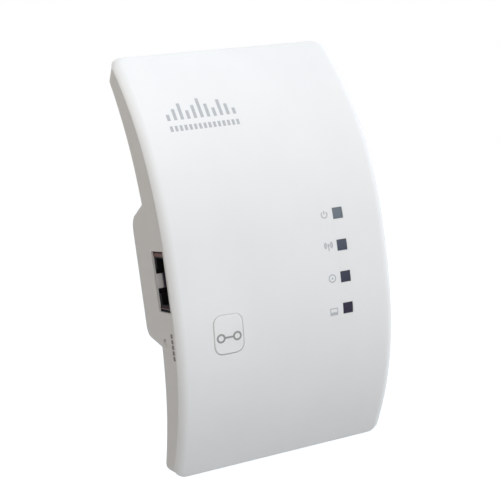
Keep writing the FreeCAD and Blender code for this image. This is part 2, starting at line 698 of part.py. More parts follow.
def jack_box(start_x, end_x, sheet, half_width):
    """Box inside the jack's outline, a sheet's thickness inside its front and back."""
    return box(start_x, end_x, JACK_FRONT_DEPTH + sheet, JACK_REAR_DEPTH - sheet,
               JACK_Z - half_width, JACK_Z + half_width)


def network_jack_insert():
    """Black moulding with the plug's cavity and the stepped slot for its latch."""
    body = jack_box(JACK_FACE_X, JACK_END_X - JACK_SHEET, JACK_SHEET, PLUG_HALF_WIDTH + CAVITY_WALL)
    floor = PLUG_CAVITY_DEPTH + PLUG_CAVITY_HEIGHT
    slots = ((PLUG_HALF_WIDTH, PLUG_CAVITY_DEPTH, floor), (LATCH_WIDE, floor, floor + LATCH_STEP),
             (LATCH_NARROW, floor, JACK_REAR_DEPTH))
    end = JACK_END_X - JACK_FLOOR
    for half, depth0, depth1 in slots:
        body = body.cut(box(-WIDTH, end, depth0, depth1, JACK_Z - half, JACK_Z + half))
    return body


def network_jack_shield():
    """Folded metal shell round the moulding, with a narrow front flange above and below."""
    outer = jack_box(JACK_FACE_X, JACK_END_X, 0.0, JACK_HALF_WIDTH)
    mouth = jack_box(-WIDTH, JACK_END_X - JACK_SHEET, JACK_SHEET, PLUG_HALF_WIDTH + CAVITY_WALL)
    behind = jack_box(JACK_FACE_X + JACK_SHEET, JACK_END_X - JACK_SHEET, JACK_SHEET,
                      JACK_HALF_WIDTH - JACK_SHEET)
    return outer.cut(mouth).cut(behind).removeSplitter()


def network_jack_contacts():
    """Eight bent spring contacts that lean into the cavity from its front wall."""
    near = JACK_FACE_X + CONTACT_START
    far = near + CONTACT_REACH
    low = PLUG_CAVITY_DEPTH + TOUCH_GAP
    high = low + CONTACT_RISE
    profile = [at(near, low, 0), at(near + CONTACT_FLAT, low, 0), at(far, high, 0),
               at(far, high + CONTACT_SHEET, 0), at(near + CONTACT_FLAT, low + CONTACT_SHEET, 0),
               at(near, low + CONTACT_SHEET, 0)]
    blade = Part.Face(Part.makePolygon(profile + profile[:1])).extrude(V(0, 0, CONTACT_WIDTH))
    lowest = JACK_Z - (CONTACT_PITCH * (CONTACT_COUNT - 1) + CONTACT_WIDTH) / 2.0
    blades = []
    for index in range(CONTACT_COUNT):
        copy = blade.copy()
        copy.translate(V(0, 0, lowest + CONTACT_PITCH * index))
        blades.append(copy)
    return Part.makeCompound(blades)


# ---------------------------------------------------------------- main board

def main_board():
    """Board clamped between the ribs of cover and housing, notched for the sunk jack."""
    board = box(-BOARD_HALF_WIDTH, BOARD_HALF_WIDTH, BOARD_DEPTH, BOARD_REAR, BOARD_LOW_Z, BOARD_HIGH_Z)
    notch_half = JACK_HALF_WIDTH + JACK_CLEARANCE
    notch = box(-WIDTH, JACK_END_X + JACK_CLEARANCE, 0.0, BODY_DEPTH,
                JACK_Z - notch_half, JACK_Z + notch_half)
    return board.cut(notch)


def case_screws():
    """Pan-head cross-slot screws that hold the cover to the housing from behind."""
    screws = []
    slot = 2.0 * SCREW_HEAD_RADIUS + SCREW_SLOT
    for z in (-SCREW_Z, SCREW_Z):
        seat = depth_below(z, SCREW_SEAT_DEPTH)
        top = seat + SCREW_HEAD_HEIGHT
        floor = seat + SCREW_SLOT_FLOOR
        shank = post(0.0, z, SCREW_RADIUS, seat - SCREW_LENGTH, seat)
        head = post(0.0, z, SCREW_HEAD_RADIUS, seat, top)
        cross = centred_box(0.0, z, slot / 2.0, SCREW_SLOT, floor, top)
        cross = cross.fuse(centred_box(0.0, z, SCREW_SLOT, slot / 2.0, floor, top))
        screws.append(shank.fuse(head).cut(cross))
    return Part.makeCompound(screws)


def chip_feet(part, near, far):
    """Row of feet under a chip, which show along its two long sides."""
    (x, z), (width, height, _) = part
    count = int(width // (FOOT_PITCH + SLIDE_GAP))
    feet = []
    for index in range(count):
        foot_x = x + (index - (count - 1) / 2.0) * FOOT_PITCH
        feet.append(centred_box(foot_x, z, FOOT_WIDTH, height + 2.0 * FOOT_REACH, near, far))
    return feet


def chip(part):
    """Flat chip package on the board's front."""
    package = mounted(part, BOARD_DEPTH)
    return package.fuse(chip_feet(part, BOARD_DEPTH - FOOT_HEIGHT, BOARD_DEPTH)).removeSplitter()


def network_transformer():
    """Larger package on the board's rear, behind the jack."""
    package = mounted_behind(NETWORK_TRANSFORMER)
    feet = chip_feet(NETWORK_TRANSFORMER, BOARD_REAR, BOARD_REAR + FOOT_HEIGHT)
    return package.fuse(feet).removeSplitter()


def shield_can():
    """Folded tin lid over the radio chip."""
    (x, z), (width, height, tall) = SHIELD_CAN
    hollow = ((x, z), (width - 2.0 * SHIELD_WALL, height - 2.0 * SHIELD_WALL, tall - SHIELD_WALL))
    return mounted(SHIELD_CAN, BOARD_DEPTH).cut(mounted(hollow, BOARD_DEPTH))


def crystal():
    return mounted(CRYSTAL_BASE, BOARD_DEPTH).fuse(mounted(CRYSTAL_CAN, BOARD_DEPTH)).removeSplitter()


def status_leds():
    return Part.makeCompound([mounted(((WINDOW_X, z), LED_SIZE), BOARD_DEPTH) for z in window_heights()])


def board_small_parts():
    """Ceramic capacitors and resistors in two rows beside the radio."""
    parts = []
    for x in SMALL_PART_ROWS_X:
        for index in range(SMALL_PART_COUNT):
            z = SMALL_PART_LOW_Z + SMALL_PART_PITCH * index
            parts.append(mounted(((x, z), SMALL_PART), BOARD_DEPTH))
    return Part.makeCompound(parts)


def board_inductor():
    """Shielded choke: a square block with broken corners."""
    block = mounted_behind(INDUCTOR)
    return block.makeChamfer(BROKEN_CORNER, edges_to_back(block))


def board_electrolytic():
    """Round can on its square base."""
    (x, z), (_, _, base) = ELECTROLYTIC_BASE
    can = post(x, z, ELECTROLYTIC_RADIUS, BOARD_REAR + base, BOARD_REAR + ELECTROLYTIC_HEIGHT)
    return mounted_behind(ELECTROLYTIC_BASE).fuse(can)


# ---------------------------------------------------------------- antennas

def antenna_sheet(side):
    """Thin slotted sheet antenna stuck to the back of the cover in its top end."""
    x = side * ANTENNA_X
    middle = (ANTENNA_LOW_Z + ANTENNA_HIGH_Z) / 2.0
    sheet = centred_box(x, middle, ANTENNA_WIDTH, ANTENNA_HIGH_Z - ANTENNA_LOW_Z, 0.0, 2.0 * BODY_DEPTH)
    sheet = sheet.common(layer(COVER_WALL, COVER_WALL + ANTENNA_SHEET))
    slot_x = side * (ANTENNA_X + ANTENNA_SLOT_SHIFT)
    for z in ANTENNA_SLOTS_Z:
        sheet = sheet.cut(centred_box(slot_x, z, *ANTENNA_SLOT, 0.0, 2.0 * BODY_DEPTH))
    return sheet


def antenna_sockets():
    """Two small coaxial sockets on the board's rear."""
    sockets = []
    for side in ANTENNA_SIDES.values():
        place = (side * SOCKET_X, SOCKET_Z)
        base = mounted_behind((place, SOCKET_BASE))
        sockets.append(base.fuse(mounted_behind((place, SOCKET_CAN))).removeSplitter())
    return Part.makeCompound(sockets)


def antenna_lead(side):
    """Thin coaxial lead from the sheet to its socket on the board."""
    lift = LEAD_RADIUS + LEAD_CLEARANCE
    bend_x, bend_depth, bend_z = LEAD_BEND
    end = FRONT.point(ANTENNA_LOW_Z + 1.5, COVER_WALL + ANTENNA_SHEET + lift)
    return lead([at(side * SOCKET_X, BOARD_REAR + SOCKET_CAN[2] + lift, SOCKET_Z),
                 at(side * bend_x, bend_depth, bend_z), V(side * LEAD_END_X, end.y, end.z)], LEAD_RADIUS)


# ---------------------------------------------------------------- power board

def power_board():
    """Board in the hump with a clearance slot for each pin's tail."""
    board = centred_box(0.0, POWER_Z, 2.0 * POWER_HALF_WIDTH, 2.0 * POWER_HALF_HEIGHT,
                        POWER_DEPTH, POWER_REAR)
    slot = 2.0 * (PIN_SHANK_RADIUS + SLIDE_GAP)
    for side in PIN_SIDES.values():
        board = board.cut(centred_box(side * PIN_SPACING / 2.0, 0.0, slot, slot, 0.0, BODY_DEPTH))
    return board


def transformer_core():
    """Two E halves seen as a frame round the winding."""
    core = centred_box(TRANSFORMER_X, TRANSFORMER_Z, *CORE_SIZE, *CORE_DEPTHS)
    window = centred_box(TRANSFORMER_X, TRANSFORMER_Z, CORE_WINDOW_WIDTH, LENGTH, *CORE_WINDOW_DEPTHS)
    return core.cut(window)


def transformer_winding():
    """Taped winding inside the core and the foot of its bobbin under it."""
    wound = centred_box(TRANSFORMER_X, TRANSFORMER_Z, *WINDING_SIZE, *WINDING_DEPTHS)
    wound = wound.makeChamfer(BROKEN_CORNER, edges_to_back(wound))
    foot = centred_box(TRANSFORMER_X, TRANSFORMER_Z, *BOBBIN_FOOT_SIZE, CORE_DEPTHS[1], POWER_DEPTH)
    return Part.makeCompound([wound, foot])


def lying_can(can):
    """Electrolytic can lying on the power board: left end, right end, height and radius."""
    x0, x1, z, radius = can
    return rod(x0, x1, POWER_DEPTH - radius, z, radius)


def fuse_resistor():
    """Round body held off the board by a square wire leg at each end."""
    x0, x1, z, radius = FUSE_RESISTOR
    depth = POWER_DEPTH - FUSE_LIFT
    ends = (x0 - FUSE_LEG_REACH, x1 + FUSE_LEG_REACH)
    half = FUSE_LEG / 2.0
    legs = [box(ends[0] - half, ends[1] + half, depth - half, depth + half, z - half, z + half)]
    for x in ends:
        legs.append(centred_box(x, z, FUSE_LEG, FUSE_LEG, depth, POWER_DEPTH))
    return rod(x0, x1, depth, z, radius).fuse(legs).removeSplitter()


def link_pins():
    return [centred_box(LINK_X, z, LINK_PIN, LINK_PIN, BOARD_REAR, POWER_DEPTH) for z in LINK_HEIGHTS]


def board_link():
    """Four straight header pins that carry low voltage to the main board."""
    return Part.makeCompound(link_pins())


def board_link_base():
    """Moulded strip that holds the header pins on the power board."""
    return mounted(((LINK_X, POWER_Z), LINK_BASE), POWER_DEPTH).cut(Part.makeCompound(link_pins()))


# ---------------------------------------------------------------- build

def nodes():
    pieces = {
        "front_cover": front_cover(),
        "rear_housing": rear_housing(),
        "case_screws": case_screws(),
        "plug_base": plug_base(),
        "pairing_button": pairing_button(),
        "pairing_switch_body": pairing_switch_body(),
        "pairing_switch_plunger": pairing_switch_plunger(),
        "light_guide": light_guide(),
        "status_leds": status_leds(),
        "reset_switch_body": reset_switch_body(),
        "reset_plunger": reset_plunger(),
        "network_jack_insert": network_jack_insert(),
        "network_jack_shield": network_jack_shield(),
        "network_jack_contacts": network_jack_contacts(),
        "network_transformer": network_transformer(),
        "main_board": main_board(),
        "radio_chip": mounted(RADIO_CHIP, BOARD_DEPTH),
        "shield_can": shield_can(),
        "memory_chip": chip(MEMORY_CHIP),
        "flash_chip": chip(FLASH_CHIP),
        "crystal": crystal(),
        "board_small_parts": board_small_parts(),
        "board_inductor": board_inductor(),
        "board_electrolytic": board_electrolytic(),
        "antenna_sockets": antenna_sockets(),
        "power_board": power_board(),
        "transformer_core": transformer_core(),
        "transformer_winding": transformer_winding(),
        "input_capacitor": lying_can(INPUT_CAPACITOR),
        "output_capacitor": lying_can(OUTPUT_CAPACITOR),
        "bridge_rectifier": mounted(BRIDGE_RECTIFIER, POWER_DEPTH),
        "power_controller": mounted(POWER_CONTROLLER, POWER_DEPTH),
        "optocoupler": mounted(OPTOCOUPLER, POWER_DEPTH),
        "fuse_resistor": fuse_resistor(),
        "board_link": board_link(),
        "board_link_base": board_link_base(),
    }
    for name, side in PIN_SIDES.items():
        pieces[name + "_pin"] = mains_pin(side)
        pieces[name + "_pin_collar"] = pin_collar(side)
        pieces[name + "_contact"] = pin_contact(side)
    for name, side in ANTENNA_SIDES.items():
        pieces[name + "_antenna"] = antenna_sheet(side)
        pieces[name + "_antenna_lead"] = antenna_lead(side)
    return pieces


os.makedirs("parts", exist_ok=True)
for node, shape in nodes().items():
    shape.exportStep("parts/" + node + ".step")
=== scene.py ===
import json
import math

import bmesh
import bpy
from mathutils import Matrix, Vector
from mathutils.bvhtree import BVHTree


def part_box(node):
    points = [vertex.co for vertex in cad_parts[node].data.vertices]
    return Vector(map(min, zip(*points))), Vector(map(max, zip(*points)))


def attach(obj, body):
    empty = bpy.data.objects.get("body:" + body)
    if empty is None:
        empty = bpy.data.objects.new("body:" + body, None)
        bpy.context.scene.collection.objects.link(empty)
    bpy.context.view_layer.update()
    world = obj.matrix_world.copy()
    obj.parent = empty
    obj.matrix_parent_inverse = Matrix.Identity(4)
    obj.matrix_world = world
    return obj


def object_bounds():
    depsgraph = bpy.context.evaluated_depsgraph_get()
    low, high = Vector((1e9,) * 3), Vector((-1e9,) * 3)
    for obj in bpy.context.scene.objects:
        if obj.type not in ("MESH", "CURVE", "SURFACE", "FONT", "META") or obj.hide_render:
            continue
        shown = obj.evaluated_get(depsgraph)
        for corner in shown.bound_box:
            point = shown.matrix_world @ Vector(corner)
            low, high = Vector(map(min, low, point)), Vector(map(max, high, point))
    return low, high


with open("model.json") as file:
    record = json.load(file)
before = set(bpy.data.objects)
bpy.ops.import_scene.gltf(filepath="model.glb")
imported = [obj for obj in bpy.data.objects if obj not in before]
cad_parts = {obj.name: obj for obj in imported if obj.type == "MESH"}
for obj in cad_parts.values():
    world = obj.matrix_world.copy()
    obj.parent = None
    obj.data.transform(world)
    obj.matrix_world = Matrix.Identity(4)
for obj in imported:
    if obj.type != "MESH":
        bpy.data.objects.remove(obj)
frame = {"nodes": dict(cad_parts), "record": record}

# The scene dresses the imported wall-plug repeater: materials for every solid, printed marks on the
# cover, button and side, thin strips of painted shade and highlight at the network port, a pale floor,
# a soft room and lamp, and the camera.  Lengths are in metres, but marks and painted strips are laid out
# in millimetres.

MM = 0.001
cad_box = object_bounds()
NODES = frame["nodes"]
BUTTON_LOW, BUTTON_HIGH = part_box("pairing_button")
GUIDE_LOW, GUIDE_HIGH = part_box("light_guide")
RESET_LOW, RESET_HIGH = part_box("reset_plunger")
JACK_LOW, JACK_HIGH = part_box("network_jack_shield")

# ---------------------------------------------------------------- camera

CAMERA_PLACE = Vector((-0.12177, -0.29851, 0.02460))
CAMERA_TURN = math.radians(23.511)      # looks to the right of straight at the wall
CAMERA_TIP = math.radians(6.043)        # looks down
CAMERA_ROLL = math.radians(-7.499)      # so that the part's top leans to the left
CAMERA_LENS = 81.956
SENSOR_WIDTH = 36.0
NEAREST_SEEN = 0.01
CAMERA_SHIFT_Y = 0.06


def make_camera():
    """Camera in front, to the left and a little above, turned and rolled as the constants say."""
    forward = Vector((math.sin(CAMERA_TURN) * math.cos(CAMERA_TIP),
                      math.cos(CAMERA_TURN) * math.cos(CAMERA_TIP), -math.sin(CAMERA_TIP)))
    level = Vector((math.cos(CAMERA_TURN), -math.sin(CAMERA_TURN), 0.0))
    right = level * math.cos(CAMERA_ROLL) + level.cross(forward) * math.sin(CAMERA_ROLL)
    up = right.cross(forward)
    data = bpy.data.cameras.new("camera")
    data.lens = CAMERA_LENS
    data.sensor_width = SENSOR_WIDTH
    data.shift_y = CAMERA_SHIFT_Y
    data.clip_start = NEAREST_SEEN
    camera = bpy.data.objects.new("camera", data)
    turn = Matrix((right, up, -forward)).transposed().to_4x4()
    camera.matrix_world = Matrix.Translation(CAMERA_PLACE) @ turn
    bpy.context.scene.collection.objects.link(camera)
    bpy.context.scene.camera = camera


# ---------------------------------------------------------------- materials

RAMP_ENDS = (0.3, 0.7)          # part of a noise's range over which its colour changes
FLOW_SIZE = 0.018               # flow marks of moulded plastic
FLOW_STRETCH = (1.0, 1.0, 0.6)
GRAIN_SIZE = 0.00022            # its eroded grain
GLOSS_SPREAD = 0.04             # how far its roughness goes either way
INK_GLOSS = (0.42, 0.6)         # roughness of printed ink
SMUDGE = 0.08                   # how much rougher metal is where it is smudged
FINE_SIZE = 0.0002              # fine marks on ink, metal and graded plastic
CLOUD_SIZE = 0.0012             # clouds that unsettle a graded colour
CLOUD_SPREAD = 0.05
GRADED_GLOSS = (0.75, 1.35)     # least and most of a graded plastic's roughness
TRACK_SCALE = 400.0             # of the brick pattern that stands for a board's tracks


class Shader:
    """A material being built: a Principled BSDF fed by nodes in object coordinates."""

    def __init__(self, name, roughness, metallic=0.0, specular=0.5):
        self.material = bpy.data.materials.new(name)
        self.material.use_nodes = True
        self.tree = self.material.node_tree
        self.surface = self.tree.nodes["Principled BSDF"]
        self.surface.inputs["Roughness"].default_value = roughness
        self.surface.inputs["Metallic"].default_value = metallic
        self.surface.inputs["Specular IOR Level"].default_value = specular
        self.place = self.tree.nodes.new("ShaderNodeTexCoord").outputs["Object"]

    def node(self, kind, **inputs):
        """New node whose inputs are set to values or linked to sockets; _ in a name means a space."""
        made = self.tree.nodes.new(kind)
        for name, value in inputs.items():
            socket = made.inputs[name.replace("_", " ")]
            if isinstance(value, bpy.types.NodeSocket):
                self.tree.links.new(value, socket)
            else:
                socket.default_value = value
        return made

    def noise(self, size, detail=2.0, stretch=(1.0, 1.0, 1.0)):
        """Noise whose features are about size metres, drawn out by stretch."""
        mapping = self.node("ShaderNodeMapping", Vector=self.place, Scale=stretch)
        made = self.node("ShaderNodeTexNoise", Vector=mapping.outputs["Vector"],
                         Scale=1.0 / size, Detail=detail)
        return made.outputs["Fac"]

    def colour(self, low, high, value):
        """Base colour that goes from low to high over the middle of the value's range."""
        ramp = self.node("ShaderNodeValToRGB", Fac=value)
        for point, position, end in zip(ramp.color_ramp.elements, RAMP_ENDS, (low, high)):
            point.position = position
            point.color = (*end, 1.0)
        self.tree.links.new(ramp.outputs["Color"], self.surface.inputs["Base Color"])

    def rough(self, low, high, value):
        """Roughness between low and high."""
        spread = self.node("ShaderNodeMapRange", Value=value, To_Min=low, To_Max=high)
        self.tree.links.new(spread.outputs["Result"], self.surface.inputs["Roughness"])

    def bump(self, value, depth):
        """Relief of the value, depth metres high."""
        bump = self.node("ShaderNodeBump", Height=value, Distance=depth, Strength=1.0)
        self.tree.links.new(bump.outputs["Normal"], self.surface.inputs["Normal"])


def tint(colour, factor):
    """Lighter or darker colour, at most white."""
    return tuple(min(1.0, channel * factor) for channel in colour)


def moulded(name, colour, roughness, depth=0.000006, variation=0.015, specular=0.5):
    """Injection-moulded plastic: fine eroded grain, faint flow marks, uneven gloss."""
    shader = Shader(name, roughness, specular=specular)
    flow = shader.noise(FLOW_SIZE, detail=3.0, stretch=FLOW_STRETCH)
    shader.colour(tint(colour, 1.0 - variation), tint(colour, 1.0 + variation), flow)
    shader.rough(roughness - GLOSS_SPREAD, roughness + GLOSS_SPREAD, flow)
    shader.bump(shader.noise(GRAIN_SIZE), depth)
    return shader.material


def printed(name, colour):
    """Pad-printed ink: thin, slightly broken and a little rougher than the plastic under it."""
    shader = Shader(name, 0.5)
    shader.colour(tint(colour, 0.93), tint(colour, 1.07), shader.noise(0.0003, detail=3.0))
    shader.rough(*INK_GLOSS, shader.noise(FINE_SIZE))
    shader.bump(shader.noise(0.00015), 0.000004)
    return shader.material


def metal(name, colour, roughness, stretch=(1.0, 1.0, 1.0)):
    """Plated or drawn metal with fine marks along one direction and a few smudges."""
    shader = Shader(name, roughness, metallic=1.0)
    shader.colour(tint(colour, 0.92), tint(colour, 1.05), shader.noise(0.003, detail=3.0))
    shader.rough(roughness - SMUDGE / 2.0, roughness + SMUDGE, shader.noise(0.0015, detail=3.0))
    shader.bump(shader.noise(FINE_SIZE, stretch=stretch), 0.000003)
    return shader.material


def graded(name, axis, ends, stops, roughness, specular=0.5):
    """Plastic whose colour changes along one axis; each stop is a share of the way and its colour."""
    shader = Shader(name, roughness, specular=specular)
    place = shader.node("ShaderNodeSeparateXYZ", Vector=shader.place).outputs[axis]
    share = shader.node("ShaderNodeMapRange", Value=place, From_Min=ends[0], From_Max=ends[1])
    cloud = shader.node("ShaderNodeMapRange", Value=shader.noise(CLOUD_SIZE),
                        To_Min=-CLOUD_SPREAD, To_Max=CLOUD_SPREAD)
    both = shader.node("ShaderNodeMath", Value=share.outputs["Result"])
    shader.tree.links.new(cloud.outputs["Result"], both.inputs[1])
    ramp = shader.node("ShaderNodeValToRGB", Fac=both.outputs[0])
    points = ramp.color_ramp.elements
    for position, _ in stops[1:-1]:
        points.new(position)
    for point, (position, colour) in zip(points, stops):
        point.position = position
        point.color = (*colour, 1.0)
    shader.tree.links.new(ramp.outputs["Color"], shader.surface.inputs["Base Color"])
    least, most = GRADED_GLOSS
    shader.rough(roughness * least, roughness * most, shader.noise(0.0006))
    shader.bump(shader.noise(FINE_SIZE), 0.000002)
    return shader.material


def circuit_board(name, colour):
    """Green solder mask with faint copper tracks under it."""
    shader = Shader(name, 0.35)
    tracks = shader.node("ShaderNodeTexBrick", Vector=shader.place, Scale=TRACK_SCALE)
    tracks.inputs["Color1"].default_value = (*tint(colour, 1.3), 1.0)
    tracks.inputs["Color2"].default_value = (*colour, 1.0)
    tracks.inputs["Mortar"].default_value = (*tint(colour, 0.7), 1.0)
    shader.tree.links.new(tracks.outputs["Color"], shader.surface.inputs["Base Color"])
    shader.bump(tracks.outputs["Fac"], 0.00002)
    shader.rough(0.3, 0.42, shader.noise(0.002))
    return shader.material


WHITE = (0.80, 0.80, 0.795)
SHELL_WHITE = (0.765, 0.752, 0.732)
WINDOW_SMOKE_AND_PAINTED_REFLECTION = (                # the light guide's smoke tint at each window, lowest first; lighter upwards as a painted reflection of the bright room above
    (0.125, (0.016, 0.008, 0.031)),
    (0.375, (0.032, 0.036, 0.061)),
    (0.625, (0.063, 0.076, 0.104)),
    (0.875, (0.150, 0.177, 0.212)),
)


def slot_materials():
    """One material for every slot of the record."""
    return {
        "cover_white": moulded("cover_white", WHITE, 0.30),
        "housing_white": moulded("housing_white", SHELL_WHITE, 0.45, depth=0.00001, specular=0.25),
        "button_white": moulded("button_white", WHITE, 0.28),
        "plug_white": moulded("plug_white", SHELL_WHITE, 0.40, depth=0.00001),
        # smoked light guide: its own dark tint, lightened towards the top as a painted reflection
        "guide_smoke": graded("guide_smoke", "Z", (GUIDE_LOW.z, GUIDE_HIGH.z), WINDOW_SMOKE_AND_PAINTED_REFLECTION, 0.16, 0.35),
        "pin_nickel": metal("pin_nickel", (0.72, 0.70, 0.66), 0.22, (1.0, 8.0, 1.0)),
        "collar_black": moulded("collar_black", (0.03, 0.03, 0.032), 0.45),
        "jack_black": moulded("jack_black", (0.006, 0.005, 0.006), 0.6, specular=0.12),
        "jack_shield": metal("jack_shield", (0.62, 0.60, 0.58), 0.30, (6.0, 1.0, 1.0)),
        "contact_gold": metal("contact_gold", (0.80, 0.58, 0.24), 0.25),
        "board_green": circuit_board("board_green", (0.02, 0.11, 0.045)),
        "chip_black": moulded("chip_black", (0.025, 0.025, 0.027), 0.5),
        "tin": metal("tin", (0.66, 0.66, 0.64), 0.34),
        "screw_steel": metal("screw_steel", (0.50, 0.50, 0.52), 0.32),
        "switch_black": moulded("switch_black", (0.03, 0.03, 0.03), 0.45),
        "plunger_light": moulded("plunger_light", (0.72, 0.71, 0.66), 0.38),
        "led_white": moulded("led_white", (0.80, 0.80, 0.68), 0.2),
        "ceramic_tan": moulded("ceramic_tan", (0.42, 0.30, 0.18), 0.5),
        "can_aluminium": metal("can_aluminium", (0.72, 0.72, 0.73), 0.35),
        "sleeve_dark": moulded("sleeve_dark", (0.02, 0.025, 0.09), 0.3),
        "ferrite": moulded("ferrite", (0.06, 0.055, 0.055), 0.6, variation=0.1),
        "tape_yellow": moulded("tape_yellow", (0.75, 0.50, 0.05), 0.35),
        "resistor_body": moulded("resistor_body", (0.12, 0.24, 0.14), 0.4),
        "antenna_copper": metal("antenna_copper", (0.75, 0.42, 0.26), 0.3),
        "lead_grey": moulded("lead_grey", (0.09, 0.09, 0.10), 0.45),
        "brass": metal("brass", (0.74, 0.56, 0.26), 0.3),
    }


def dress_nodes():
    """Give each solid the material of its slot."""
    made = slot_materials()
    for row in frame["record"]["subparts"]:
        for slot in NODES[row["node"]].material_slots:
            slot.material = made[row["material_slot"]]


# ---------------------------------------------------------------- printed marks

INK_LIFT = 0.012 * MM           # top of the ink above the plastic
INK_THICKNESS = 0.03 * MM
RAY_START = 0.5                 # rays start this far outside the part


def surface_tree(node):
    """Search tree over a solid's faces."""
    piece = NODES[node]
    points = [piece.matrix_world @ vertex.co for vertex in piece.data.vertices]
    return BVHTree.FromPolygons(points, [tuple(face.vertices) for face in piece.data.polygons])


def bar(x0, z0, x1, z1, steps=4):
    """Upright rectangle as a stack of quads."""
    quads = []
    for index in range(steps):
        low = z0 + (z1 - z0) * index / steps
        high = z0 + (z1 - z0) * (index + 1) / steps
        quads.append([(x0, low), (x1, low), (x1, high), (x0, high)])
    return quads


def arc(x, z, radius, width, start, end, steps=20):
    """Part of a ring, angles in degrees counted from +X towards +Z."""
    quads = []
    inner, outer = radius - width / 2.0, radius + width / 2.0
    for index in range(steps):
        a = math.radians(start + (end - start) * index / steps)
        b = math.radians(start + (end - start) * (index + 1) / steps)
        quads.append([(x + inner * math.cos(a), z + inner * math.sin(a)),
                      (x + outer * math.cos(a), z + outer * math.sin(a)),
                      (x + outer * math.cos(b), z + outer * math.sin(b)),
                      (x + inner * math.cos(b), z + inner * math.sin(b))])
    return quads


def disc(x, z, radius):
    """Filled circle, as a ring as wide as its radius."""
    return arc(x, z, radius / 2.0, radius, 0.0, 360.0)


def stroke(x0, z0, x1, z1, width, steps=3):
    """Straight line of a given width."""
    along = Vector((x1 - x0, z1 - z0))
    side = Vector((-along.y, along.x)).normalized() * width / 2.0
    quads = []
    for index in range(steps):
        a = Vector((x0, z0)) + along * index / steps
        b = Vector((x0, z0)) + along * (index + 1) / steps
        quads.append([tuple(a - side), tuple(b - side), tuple(b + side), tuple(a + side)])
    return quads


def ray_towards(aim, across, up):
    """Start and direction of a ray that meets the part from the front or from its left side."""
    if aim == "front":
        return Vector((across * MM, -RAY_START, up * MM)), Vector((0.0, 1.0, 0.0))
    return Vector((-RAY_START, across * MM, up * MM)), Vector((1.0, 0.0, 0.0))


def draped(tree, aim, across, up):
    """Point just above the surface that the ray meets."""
    start, ray = ray_towards(aim, across, up)
    hit, normal, _, _ = tree.ray_cast(start, ray)
    if normal.dot(ray) > 0.0:
        normal = -normal
    return hit + normal * INK_LIFT


def add_piece(name, mesh, material, body):
    """Turn a finished mesh into a piece that rides on a body."""
    data = bpy.data.meshes.new(name)
    mesh.to_mesh(data)
    mesh.free()
    piece = bpy.data.objects.new(name, data)
    bpy.context.scene.collection.objects.link(piece)
    piece.data.materials.append(material)
    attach(piece, body)


def mark(name, quads, node, material, body, aim="front"):
    """Thin ink layer draped on a solid; quads are in millimetres across and up the surface."""
    tree = surface_tree(node)
    mesh = bmesh.new()
    made = {}
    for quad in quads:
        corners = []
        for across, up in quad:
            key = (round(across, 4), round(up, 4))
            if key not in made:
                made[key] = mesh.verts.new(draped(tree, aim, across, up))
            if made[key] not in corners:
                corners.append(made[key])
        if len(corners) > 2 and mesh.faces.get(corners) is None:
            mesh.faces.new(corners)
    bmesh.ops.recalc_face_normals(mesh, faces=mesh.faces)
    _, ray = ray_towards(aim, 0.0, 0.0)
    inward = [face for face in mesh.faces if face.normal.dot(ray) > 0.0]
    bmesh.ops.reverse_faces(mesh, faces=inward)
    bmesh.ops.solidify(mesh, geom=mesh.faces[:], thickness=INK_THICKNESS)
    add_piece(name, mesh, material, body)


PICTOGRAM_X = 13.2              # middle of the signs beside the windows
PICTOGRAM_LINE = 0.30           # width of their lines
SCREEN_LINE = 0.24

ORNAMENT_LEFT = -22.4
ORNAMENT_LOW = 35.4             # bars and ticks are measured up and down from here
ORNAMENT_BARS = (1.6, 2.9, 4.2, 2.2, 3.4, 5.0, 3.4, 2.2, 4.2, 2.9, 1.6)     # their heights
BAR_PITCH = 1.78
BAR_WIDTH = 0.85
BAR_FOOT = 0.9
TICK_COUNT = 15                 # short ticks in a row under the bars
TICK_PITCH = 1.28
TICK_WIDTH = 0.75
TICK_BOTTOM = -1.9
TICK_TOP = -0.5

LINK_RADIUS = 0.95              # the button's two rings
LINK_SPREAD = 2.2               # from the sign's middle to each ring's
LINK_LINE = 0.5
LINK_BAR = 1.2                  # half length of the bar between them
LINK_DROP = 0.75                # below the button's middle

DASH_COUNT = 5
DASH_DEPTH = -36.5              # in Y, of the lowest dash
DASH_LEAN = 0.04                # each dash above it stands this much further forward
DASH_START = -3.9               # from the reset hole's middle to the lowest dash's foot
DASH_PITCH = 1.42
DASH_LENGTH = 1.12
DASH_WIDTH = 1.35


def power_sign(x, z):
    """Open ring with a line in its gap."""
    ring = arc(x, z, 0.82, PICTOGRAM_LINE, 130.0, 410.0)
    return ring + stroke(x, z + 0.1, x, z + 0.98, PICTOGRAM_LINE)


def mast_sign(x, z):
    """Mast with waves on both sides."""
    quads = stroke(x, z - 1.1, x, z + 0.35, PICTOGRAM_LINE) + disc(x, z + 0.35, 0.32)
    for radius, width in ((0.62, 0.26), (1.06, 0.42)):
        quads += arc(x, z + 0.35, radius, width, -48.0, 48.0, steps=8)
        quads += arc(x, z + 0.35, radius, width, 132.0, 228.0, steps=8)
    return quads


def ring_sign(x, z):
    """Ring round a dot."""
    return arc(x, z, 0.95, PICTOGRAM_LINE, 0.0, 360.0) + disc(x, z, 0.28)


def screen_sign(x, z):
    """Outlined screen on a solid foot."""
    x, z = x - 0.25, z - 0.45
    quads = bar(x - 1.12, z - 0.95, x + 1.12, z - 0.15)
    quads += stroke(x - 1.0, z - 0.15, x - 1.0, z + 0.85, SCREEN_LINE)
    quads += stroke(x + 1.0, z - 0.15, x + 1.0, z + 0.85, SCREEN_LINE)
    quads += stroke(x - 1.12, z + 0.85, x + 1.12, z + 0.85, SCREEN_LINE)
    return quads


